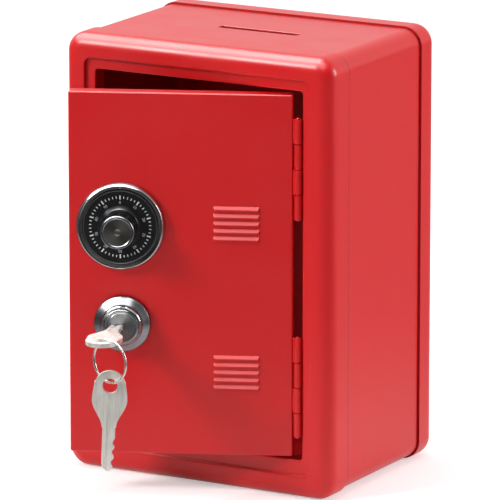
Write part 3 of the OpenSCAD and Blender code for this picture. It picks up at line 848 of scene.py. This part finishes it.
# %% [markdown]
# ## Door tray
# The door is a shallow tray: one sheet whose four edges are turned in. A block loses its back face, its
# folds are eased, and the skin that is left gets the sheet's thickness. Cutting a hollow from a solid
# block would give the same tray but with square folds. The holes for the dial's spindle, its two studs
# and the lock barrel are then cut through it, and so are ten slits behind the louvres.

# %% Door tray
tray = block((DOOR_LEFT / MM, DOOR_FACE / MM, DOOR_Z / MM),
             (DOOR_RIGHT / MM, DOOR_FACE / MM + 6, (DOOR_Z + DOOR_H) / MM))
behind = max(tray.faces, key=lambda f: f.calc_center_median().y)
bmesh.ops.delete(tray, geom=[behind], context="FACES_ONLY")
soften(tray, 0.85 * MM, 4)
bmesh.ops.recalc_face_normals(tray, faces=tray.faces)
front_face = min(tray.faces, key=lambda f: f.calc_center_median().y)
if front_face.normal.y > 0:
    bmesh.ops.reverse_faces(tray, faces=tray.faces)
bmesh.ops.solidify(tray, geom=tray.faces[:], thickness=SHEET)
spread = [v.co.x for v in tray.verts]
print("door tray from", min(spread), "to", max(spread))

holes = bmesh.new()
for x, z, radius in ((DIAL_X, DIAL_Z, 3.06), (LOCK_X, LOCK_Z, 8.02), (DIAL_X - STUD_X, DIAL_Z, 1.05),
                     (DIAL_X + STUD_X, DIAL_Z, 1.05)):
    drill = rod(radius, -3, 3, 64)
    bmesh.ops.transform(drill, matrix=Matrix.Translation((x * MM, DOOR_FACE, z * MM)) @ UPRIGHT,
                        verts=drill.verts)
    join_in(holes, drill)
LOUVRE_X, LOUVRE_L, PITCH = 21.3, 18.7, 3.05
louvre_heights = [middle + row * PITCH for middle in (112.4, 51.3) for row in range(-2, 3)]
for z in louvre_heights:
    join_in(holes, block((LOUVRE_X - LOUVRE_L / 2 + 0.9, DOOR_FACE / MM - 1, z - 0.7),
                         (LOUVRE_X + LOUVRE_L / 2 - 0.9, DOOR_FACE / MM + 1, z + 0.35)))
tray = carve(tray, holes)
print("louvres:", len(louvre_heights))

# %% [markdown]
# ### Louvres
# Each louvre is slit along its lower edge and pressed outwards, so it is a small hood: closed above and
# at both ends, open below. A block without its back and underside is leaned into the hood's shape,
# rounded, and given a thin wall.

# %% Louvres
def hood(z):
    bm = block((-LOUVRE_L / 2, -0.95, -0.95), (LOUVRE_L / 2, 0.1, 1.1))
    for vert in bm.verts:
        if vert.co.y < -0.5 * MM:
            vert.co.x -= math.copysign(0.5 * MM, vert.co.x)
            vert.co.z = (-0.3 if vert.co.z > 0 else -0.75) * MM
    soften(bm, 0.26 * MM, 4, 20)
    for cut, away in (((0, 0, -0.7 * MM), (0, 0, -1)), ((0, 0.05 * MM, 0), (0, 1, 0))):
        everything = bm.verts[:] + bm.edges[:] + bm.faces[:]
        bmesh.ops.bisect_plane(bm, geom=everything, plane_co=cut, plane_no=away, clear_outer=True)
    bmesh.ops.solidify(bm, geom=bm.faces[:], thickness=0.22 * MM)
    bmesh.ops.recalc_face_normals(bm, faces=bm.faces)
    return moved(bm, LOUVRE_X, DOOR_FACE / MM, z)


for z in louvre_heights:
    join_in(tray, hood(z))
finish_piece(tray, "Door_pan", "door", [red_coat], AJAR)

# %% [markdown]
# ## Hinges
# Two butt hinges, painted with the door. Each has two leaves whose edges are rolled into knuckles, turn
# and turn about, on a pin with domed ends. The knuckle is turned work; the leaf and the short tab that
# rolls into it are eased blocks.

# %% Hinges
KNUCKLE_GAP, HINGE_L = 0.35, 41
KNUCKLE = (HINGE_L - 3 * KNUCKLE_GAP) / 4


def leaf(middle, knuckles, bore, plate, tab):
    bm = block((plate[0], plate[2], middle - HINGE_L / 2), (plate[1], plate[3], middle + HINGE_L / 2), 0.15)
    for i in knuckles:
        low = middle + HINGE_L / 2 - (i + 1) * KNUCKLE - i * KNUCKLE_GAP
        knuckle = lathe([(bore, 0), (1.45, 0), (1.45, KNUCKLE), (bore, KNUCKLE)], 40, 0.12)
        join_in(bm, moved(knuckle, HINGE_X / MM, HINGE_Y / MM, low))
        join_in(bm, block((tab[0], HINGE_Y / MM, low), (tab[1], HINGE_Y / MM + 2.4, low + KNUCKLE), 0.12))
    return bm


for name, middle in (("upper", 135.2), ("lower", 45.9)):
    frame_leaf = leaf(middle, (1, 3), 0.82, (46.8, 47.7, -41.8, -36.8), (46.8, 47.3))
    finish_piece(frame_leaf, name.title() + "_hinge_frame_leaf", "cabinet", [red_coat])
    door_leaf = leaf(middle, (0, 2), 0.86, (43.9, 44.75, -41.8, -37.6), (43.9, 44.75))
    finish_piece(door_leaf, name.title() + "_hinge_door_leaf", "door", [red_coat], AJAR)
    half = HINGE_L / 2 + 0.5
    pin = lathe([(0, -half), (0.5, -half), (0.8, -half + 0.3), (0.8, half - 0.3), (0.5, half), (0, half)],
                32, 0.08)
    moved(pin, HINGE_X / MM, HINGE_Y / MM, middle)
    finish_piece(pin, name.title() + "_hinge_pin", "cabinet", [red_coat])

# %% [markdown]
# ## Dial
# A chromed ring with a sloping face is held by two studs through the door. In it turns a glossy black
# disc with fine marks and small numbers, and on the disc stands a fluted black knob with a chromed cap.
# All of it is turned work, spun from a few corner points and eased.

# %% Dial bezel
bezel = lathe([(3.06, 0), (18, 0), (18, 0.8), (17.85, 1.6), (17.5, 2.4), (17.05, 2.95), (16.75, 3.1),
               (16.5, 3.0), (16.35, 2.7), (16.3, 2.2), (15.45, 2.0), (15.45, 0.6), (3.06, 0.6)], 128)
for face in bezel.faces:
    if face.calc_center_median().xy.length < 16.32 * MM and face.calc_center_median().z > 0.7 * MM:
        face.material_index = 1
for side in (-1, 1):
    join_in(bezel, moved(lathe([(0, -3.2), (1, -3.2), (1, 0.2), (0, 0.2)], 32, 0.15), side * STUD_X, 0, 0))
pointer = block((-0.3, 15.55, 1.9), (0.3, 16.25, 2.32), 0.06)
for face in pointer.faces:
    face.material_index = 2
join_in(bezel, pointer)
finish_piece(bezel, "Dial_bezel", "door", [chrome, spun_face, ink], DIAL)

# %% [markdown]
# ### Dial disc
# The disc is spun from its section, with a fine raised rib near its edge. The marks are part of its
# printed finish. Ten small numbers stand round them. Each is a thin raised print, so it stays a closed
# shape of its own.

# %% Dial disc and its numbers
disc = lathe([(2.62, 1), (15.1, 1), (15.1, 2.1), (15.0, 2.36), (14.8, 2.4), (14.6, 2.36), (14.45, 2.2),
              (8.6, 2.2), (8.5, 2.4), (2.62, 2.4)], 128)
for face in disc.faces:
    if face.calc_center_median().xy.length > 14.5 * MM:
        face.material_index = 2


def figure(number, turn):
    """A printed number standing at its angle round the dial, read from outside."""
    curve = bpy.data.curves.new("number", "FONT")
    curve.body, curve.size, curve.align_x, curve.align_y = str(number), 1.6 * MM, "CENTER", "CENTER"
    curve.extrude = 0.02 * MM
    holder = bpy.data.objects.new("number", curve)
    bpy.context.scene.collection.objects.link(holder)
    mesh = bpy.data.meshes.new_from_object(holder.evaluated_get(bpy.context.evaluated_depsgraph_get()))
    bpy.data.objects.remove(holder)
    bpy.data.curves.remove(curve)
    bm = bmesh.new()
    bm.from_mesh(mesh)
    bpy.data.meshes.remove(mesh)
    bmesh.ops.remove_doubles(bm, verts=bm.verts, dist=0.001 * MM)
    bmesh.ops.recalc_face_normals(bm, faces=bm.faces)
    for face in bm.faces:
        face.material_index = 1
    place = Matrix.Rotation(-turn, 4, "Z") @ Matrix.Translation((0, 9.9 * MM, 2.205 * MM))
    bmesh.ops.transform(bm, matrix=place, verts=bm.verts)
    return bm


for i in range(10):
    join_in(disc, figure(i * 10, math.tau * i / 10))
finish_piece(disc, "Dial_disc", "dial", [black_dial, ink, chrome], DIAL)

# %% [markdown]
# ### Knob, cap and spindle
# The knob is spun as a plain cone, and then every second point round it is drawn in a little, which
# leaves the fine flutes that fingers grip. Cutting each flute away would give the same shape more slowly.
# The cap closes its end.

# %% Knob, cap and spindle
knob = lathe([(2.62, 2.4), (8.4, 2.4), (8.4, 3.1), (7.5, 3.9), (7.28, 4.6), (6.85, 11.9), (6.6, 12.1),
              (2.62, 12.1)], 96)
grip = [v for v in knob.verts if 4.4 * MM < v.co.z < 12 * MM and v.co.xy.length > 5 * MM]
hollows = [v for v in grip if round(math.atan2(v.co.y, v.co.x) / math.tau * 96) % 2]
bmesh.ops.scale(knob, vec=(0.965, 0.965, 1), verts=hollows)
finish_piece(knob, "Dial_knob", "dial", [black], DIAL, sharp=50)

cap = lathe([(0, 12.1), (6.75, 12.1), (6.75, 12.65), (6.45, 12.97), (5.85, 12.97), (5.5, 12.66),
             (1.5, 12.75), (0.95, 12.5), (0.4, 12.38), (0, 12.35)], 96, 0.06)
for face in cap.faces:
    if face.calc_center_median().xy.length < 5.55 * MM and face.normal.z > 0.3:
        face.material_index = 1
finish_piece(cap, "Knob_cap", "dial", [satin_chrome, spun_face], DIAL)

spindle = lathe([(0, -6), (2.7, -6), (3, -5.7), (3, -4.6), (2.2, -4.6), (2.2, -3.7), (3, -3.7), (3, 0.9),
                 (2.6, 0.9), (2.6, 12.08), (0, 12.08)], 64, 0.06)
finish_piece(spindle, "Dial_spindle", "dial", [zinc], DIAL)
spring = lathe([(3.06, -3.8), (6.6, -1.75), (6.6, -1.15), (3.06, -3.2)], 96, 0.1)
finish_piece(spring, "Dial_spring_washer", "dial", [zinc], DIAL)

# %% [markdown]
# ### Fixings behind the dial
# A clip snapped into the spindle's groove holds the dial against its spring washer, and two push nuts
# bite the studs of the bezel. The clip is a ring with one side cut open; the push nuts are slightly
# dished rings.

# %% Clip and push nuts
clip = carve(lathe([(2.22, -4.5), (4.6, -4.5), (4.6, -3.8), (2.22, -3.8)], 64),
             block((-1.6, 0, -6), (1.6, 6, -2)))
soften(clip, 0.08 * MM, 2, 50)
finish_piece(clip, "Dial_clip", "dial", [zinc], DIAL)
nuts = bmesh.new()
for side in (-1, 1):
    join_in(nuts, moved(lathe([(1.02, -1.5), (1.6, -1.1), (2.8, -1.0), (2.8, -0.8), (1.5, -0.8),
                               (1.02, -1.2)], 40, 0.04), side * STUD_X, 0, 0))
finish_piece(nuts, "Bezel_push_nuts", "door", [zinc], DIAL)

# %% [markdown]
# ## Lock
# A cam lock: a threaded barrel through the door with a domed chrome escutcheon in front and a washer and
# nut behind, and a plug that turns in it with the key. The barrel's thread is a row of shallow rings. The
# keyway is cut out of the plug.

# %% Escutcheon and barrel
escutcheon = lathe([(8.02, 0), (11.4, 0), (11.4, 2.0), (11.3, 2.35), (11.0, 2.65), (10.2, 3.25),
                    (9.4, 3.9), (8.8, 4.45), (8.55, 4.6),
                    (8.4, 4.95), (8.25, 5.2), (8.02, 5.25)], 96)
finish_piece(escutcheon, "Lock_escutcheon", "door", [satin_chrome], LOCK)
thread = [(8 if i % 2 else 7.62, -14.6 + i * 0.45) for i in range(30)]
barrel = lathe([(7.06, -15), (7.6, -15)] + thread + [(8, -1.1), (8, 5.3), (7.75, 5.6), (7.06, 5.6)], 80)
finish_piece(barrel, "Lock_barrel", "door", [chrome], LOCK)

# %% [markdown]
# ### Washer and nut
# Behind the door a washer spreads the load, and a six-sided nut draws the barrel tight. The nut is a
# six-sided prism cut back by a cone at its corners, as a nut is turned before it is tapped.

# %% Washer and nut
washer = lathe([(8.02, -1.6), (12, -1.6), (12, -0.8), (8.02, -0.8)], 80, 0.12)
finish_piece(washer, "Lock_washer", "door", [zinc], LOCK)
hexagon = bmesh.new()
bmesh.ops.create_cone(hexagon, cap_ends=True, segments=6, radius1=12 * MM, radius2=12 * MM, depth=3.6 * MM)
moved(spun(hexagon, 30), 0, 0, -3.4)
hexagon = carve(hexagon, lathe([(0, -5.3), (10.6, -5.3), (12.4, -4.3), (12.4, -2.5), (10.6, -1.5),
                                (0, -1.5)], 96), "INTERSECT")
hexagon = carve(hexagon, lathe([(0, -6), (8.6, -6), (8.02, -4.8), (8.02, -2), (8.6, -1), (0, -1)], 80))
finish_piece(hexagon, "Lock_nut", "door", [zinc], LOCK)

# %% [markdown]
# ### Plug
# The plug is the part that turns with the key. A slot is cut in its face for the key, and it runs at the
# same small slant as the blade that fills it.

# %% Plug
plug = lathe([(0, -15.3), (7, -15.3), (7, 6.85), (6.75, 7.12), (6.5, 7.2), (6.2, 7.2), (6.0, 7.1),
              (5.85, 6.85), (5.6, 6.85), (5.4, 7.0), (0, 7.1)], 96)
keyway = spun(block((-2.75, -1.05, -12.5), (2.75, 1.05, 12)), -KEY_LEAN, "Y")
plug = carve(plug, moved(keyway, -0.356, 0, 0))
join_in(plug, carve(block((-2.5, -2.5, -17.6), (2.5, 2.5, -15.0), 0.2), rod(1.3, -18, -15.05, 32)))
finish_piece(plug, "Lock_plug", "plug", [satin_chrome], LOCK)

# %% [markdown]
# ### Cam and its screw
# The cam is a flat steel arm on the plug's square end. It hangs down when the lock is open, and is cranked
# forward so that its tip clears the stop strip. Blocks and a disc are united into one solid, then eased.

# %% Cam, washer and screw
arm = carve(rod(6, -17.4, -15.6, 64), block((-4, -13.6, -17.4), (4, 0, -15.6)), "UNION")
arm = carve(arm, block((-4, -13.6, -17.4), (4, -11.8, -10.4)), "UNION")
tip = block((-4, -25, -12.2), (4, -11.8, -10.4))
ends = [e for e in tip.edges if abs(e.verts[0].co.z - e.verts[1].co.z) > MM and e.verts[0].co.y < -20 * MM]
round_edges(tip, ends, 2.5 * MM, 6)
arm = carve(arm, tip, "UNION")
arm = carve(arm, block((-2.55, -2.55, -18), (2.55, 2.55, -14)))
bmesh.ops.remove_doubles(arm, verts=arm.verts, dist=0.001 * MM)
soften(arm, 0.15 * MM, 2, 40)
finish_piece(arm, "Lock_cam", "plug", [zinc], LOCK)
finish_piece(lathe([(1.4, -18.2), (5, -18.2), (5, -17.6), (1.4, -17.6)], 64, 0.1), "Cam_washer", "plug",
             [zinc], LOCK)
screw = lathe([(0, -20), (2.0, -20), (2.6, -19.7), (2.9, -19.1), (2.9, -18.2), (1.28, -18.2),
               (1.28, -14.1), (0, -14.1)], 48)
for turned in (0, 90):
    screw = carve(screw, spun(block((-3.5, -0.4, -20.5), (3.5, 0.4, -19.3)), turned))
finish_piece(screw, "Cam_screw", "plug", [zinc], LOCK)

# %% [markdown]
# ## Keys
# Both keys are stamped from the same flat strip: a leaf-shaped bow with a hole, a shoulder, and a blade
# with cuts down one side and a groove milled in each face. The outline is a list of rows across the key,
# each with its left and right edge.

# %% Key shape
KEY_T, BOW_END, HOLE_R, SHOULDER, TIP = 1.7, 6.1, 3.0, 17, 34.9
BLADE = 2.5
cuts = [(-13.4, BLADE), (-12, 1.7), (-11.2, 1.7), (-10.2, 2.4), (-9.4, 2.4), (-8.2, 1.5), (-7.2, 1.5),
        (-6.2, 2.2), (-5.2, 2.2), (-4, 1.2), (-3, 1.2), (-1.6, 1.9), (0, 0.8)]


def blend(low, high, t):
    t = max(0.0, min(1.0, t))
    return low + (high - low) * t * t * (3 - 2 * t)


def bow_width(y):
    at_join = math.sqrt(BOW_END ** 2 - 1.5 ** 2)
    if y < -1.5:
        return math.sqrt(max(0.0, BOW_END ** 2 - y * y))
    if y < 6:
        t = (y + 1.5) / 7.5
        return 0.5 * (blend(at_join, 7, 0.5 * t + 0.5) + blend(at_join, 7, t))
    return blend(7, BLADE + 0.3, (y - 6) / 11)


rows = [(-BOW_END * math.cos(math.radians(a)), None) for a in range(4, 75, 5)]
rows = [(y, (-bow_width(y), bow_width(y))) for y, _ in rows]
rows += [(y, (-bow_width(y), bow_width(y))) for y in [-1.5 + 0.75 * i for i in range(11)]
         + [6.5 + 0.75 * i for i in range(14)]]
rows += [(SHOULDER, (-BLADE - 0.3, BLADE + 0.3)), (SHOULDER + 0.05, (-BLADE, BLADE))]
rows += [(TIP + d, (-BLADE if d < -2.2 else blend(-BLADE, -0.6, (d + 2.2) / 2.2), right)) for d,
         right in cuts]


print("rows along the key:", len(rows), "from", rows[0][0], "to", rows[-1][0])

# %% [markdown]
# ### From the outline to two keys
# The strip's points are moved to the outline, and the strip is raised to the key's thickness. The hole
# and the two grooves are cut, and the edges eased. One key stands in the lock and the other hangs from
# the ring.

# %% Two keys
def key_blank():
    bm = bmesh.new()
    strip = bmesh.ops.create_grid(bm, x_segments=1, y_segments=len(rows) - 1, size=0.5)["verts"]
    order = sorted({round(v.co.y, 6) for v in strip})
    for vert in strip:
        y, (left, right) = rows[order.index(round(vert.co.y, 6))]
        vert.co = ((left if vert.co.x < 0 else right) * MM, y * MM, -KEY_T / 2 * MM)
    top = bmesh.ops.extrude_face_region(bm, geom=bm.faces[:])["geom"]
    bmesh.ops.translate(bm, verts=[v for v in top if isinstance(v, bmesh.types.BMVert)],
                        vec=(0, 0, KEY_T * MM))
    bmesh.ops.recalc_face_normals(bm, faces=bm.faces)
    bm = carve(bm, rod(HOLE_R, -2, 2, 64))
    for side in (-1, 1):
        low, high = sorted((side * (KEY_T / 2 - 0.4), side * 2))
        bm = carve(bm, block((-1.1, SHOULDER - 2.5, low), (0.1, 40, high)))
    bmesh.ops.remove_doubles(bm, verts=bm.verts, dist=0.002 * MM)
    bmesh.ops.dissolve_limit(bm, angle_limit=math.radians(0.5), verts=bm.verts, edges=bm.edges)
    soften(bm, 0.16 * MM, 2, 50)
    return bm


bow_in_lock = Matrix.Translation(((LOCK_X - 4.7) * MM, DOOR_FACE - 33 * MM, LOCK_Z * MM))
in_lock = AJAR @ bow_in_lock @ turned_by(-KEY_LEAN)
finish_piece(key_blank(), "Lock_key", "inserted_key", [nickel], in_lock)

ring_low, ring_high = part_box("key_ring")
ring_centre = (ring_low + ring_high) / 2
RING_R, WIRE = 8.6, 0.5
RING_TURN = turned_by(DOOR_ANGLE - 36.7)
below_ring = Matrix.Translation(ring_centre - Vector((0, 0, (RING_R + 1.2) * MM)))
hanging = below_ring @ turned_by(DOOR_ANGLE) @ turned_by(2, "Y") @ turned_by(-90, "X")
finish_piece(key_blank(), "Spare_key", "hanging_key", [nickel], hanging)

# %% [markdown]
# ## Key ring
# A plain wire ring, bent round until its ends almost meet. A small circle is spun round the ring's axis,
# stopping just short of a full turn, and both ends are capped and eased.

# %% Key ring
wire = bmesh.new()
bmesh.ops.create_circle(wire, cap_ends=True, segments=20, radius=WIRE * MM)
bmesh.ops.transform(wire, matrix=Matrix.Translation((RING_R * MM, 0, 0)) @ UPRIGHT, verts=wire.verts)
bmesh.ops.spin(wire, geom=wire.faces[:] + wire.edges[:] + wire.verts[:], cent=(0, 0, 0), axis=(0, 0, 1),
               angle=math.tau - math.radians(1.6), steps=120)
bmesh.ops.recalc_face_normals(wire, faces=wire.faces)
soften(wire, 0.12 * MM, 2, 50)
spun(wire, 40)
finish_piece(wire, "Key_ring", "ring", [wire_nickel],
             Matrix.Translation(ring_centre) @ RING_TURN @ UPRIGHT)

# %% [markdown]
# ## Floor, light and camera
# The safe stands on a plain pale floor in soft studio light. Satin paint shows its shape by what it
# mirrors, so the surroundings are bright above and behind the safe and dim in front of it, as in a studio
# where the lights stand overhead. Only what the camera sees directly is plain white.

# %% Floor
ground = bmesh.new()
bmesh.ops.create_grid(ground, x_segments=1, y_segments=1, size=6)
floor_mesh = bpy.data.meshes.new("Floor")
ground.to_mesh(floor_mesh)
ground.free()
floor = bpy.data.objects.new("Floor", floor_mesh)
bpy.context.scene.collection.objects.link(floor)
paper, tree, shader, place = new_finish("Studio_paper", (0.86, 0.86, 0.86), 0.9)
rays = node(tree, "ShaderNodeLightPath").outputs
shader.inputs["Emission Strength"].default_value = 1.0
shader.inputs["Specular IOR Level"].default_value = 0.1
spread = node(tree, "ShaderNodeVectorMath", operation="LENGTH")
tree.links.new(place, spread.inputs[0])
# Seen in reflections, the floor glows near the safe, a painted reflection on its lower edges, and further
# out and in front of it is darker, painted shade.
near_glow = stretch(tree, spread.outputs["Value"], 0.10, 0.30, 0.3, 0.0)
mirrored = times(tree, rays["Is Glossy Ray"], near_glow)
own_glow = plus(tree, times(tree, rays["Is Camera Ray"], 0.42), mirrored)
tree.links.new(own_glow, shader.inputs["Emission Color"])
far_off = stretch(tree, spread.outputs["Value"], 0.10, 0.36, 0.1, 0.95)
floor_place = node(tree, "ShaderNodeSeparateXYZ")
tree.links.new(place, floor_place.inputs["Vector"])
in_front = stretch(tree, floor_place.outputs["Y"], -0.05, 0.25, 1.0, 0.6)
shade = times(tree, far_off, in_front)
dim = sum_up(tree, "SUBTRACT", 1.0, times(tree, rays["Is Glossy Ray"], shade))
tree.links.new(tint(tree, dim, (0.0, 0.0, 0.0), (0.86, 0.86, 0.86)), shader.inputs["Base Color"])
floor_mesh.materials.append(paper)
print("floor", floor.name, "with", paper.name)

# %% [markdown]
# ### Surroundings
# Chrome and satin paint show whatever stands round them. The room is brighter behind the safe and a
# little brighter overhead. Three soft lights light it, and two white sheets hung over the table are seen
# only in reflections.

# %% Surroundings
world = bpy.data.worlds.new("Studio")
bpy.context.scene.world = world
world.use_nodes = True
sky = world.node_tree
direction = node(sky, "ShaderNodeSeparateXYZ")
sky.links.new(node(sky, "ShaderNodeTexCoord").outputs["Generated"], direction.inputs["Vector"])
behind_glow = stretch(sky, direction.outputs["Y"], -0.3, 0.5, 0.05, 0.85)
above_glow = stretch(sky, direction.outputs["Z"], 0.25, 0.95, 0.0, 0.1)
room = plus(sky, behind_glow, above_glow)
plain = node(sky, "ShaderNodeLightPath").outputs["Is Camera Ray"]
brightness = sum_up(sky, "MAXIMUM", room, plain)
sky.links.new(brightness, sky.nodes["Background"].inputs["Strength"])
sky.nodes["Background"].inputs["Color"].default_value = (1, 1, 1, 1)


def soft_light(name, place, aim, size, watts):
    lamp = bpy.data.lights.new(name, "AREA")
    lamp.shape, lamp.size, lamp.size_y, lamp.energy = "RECTANGLE", size[0], size[1], watts
    holder = bpy.data.objects.new(name, lamp)
    holder.location = place
    holder.rotation_euler = (Vector(aim) - Vector(place)).to_track_quat("-Z", "Y").to_euler()
    bpy.context.scene.collection.objects.link(holder)
    return holder


soft_light("Overhead", (-0.05, -0.12, 1.0), (0, 0, 0.1), (0.55, 0.5), 2.6)
soft_light("Key", (-1.0, -1.4, 1.2), (0, 0, 0.09), (0.5, 0.5), 28)
soft_light("Side", (1.5, 0.7, 0.6), (0, 0, 0.09), (0.5, 0.7), 13.5)
canopy = soft_light("Reflector", (-0.1, -0.5, 1.15), (0, 0, 0.1), (1.5, 1.1), 26)
canopy.visible_diffuse = False
ridge = soft_light("Ridge_reflector", (-0.6, -0.05, 1.1), (0, 0, 0.15), (1.0, 1.2), 32)
ridge.visible_diffuse = False

# %% [markdown]
# ### Camera
# A long lens from about two and a half metres away keeps the sides of the box nearly parallel.

# %% Camera
lens = bpy.data.cameras.new("Camera")
lens.lens, lens.sensor_width = 425.5, 36
lens.shift_x, lens.shift_y = -0.00174, -0.01056
camera = bpy.data.objects.new("Camera", lens)
turn, rise, away = math.radians(29.278), math.radians(13.143), 2.412
middle = Vector((0, 0, HEIGHT / 2))
camera.location = middle + away * Vector((math.sin(turn) * math.cos(rise),
                                          -math.cos(turn) * math.cos(rise), math.sin(rise)))
camera.rotation_euler = (middle - camera.location).to_track_quat("-Z", "Y").to_euler()
bpy.context.scene.collection.objects.link(camera)
bpy.context.scene.camera = camera
bpy.context.scene.view_settings.view_transform = "Standard"
print("camera at", tuple(round(v, 3) for v in camera.location))
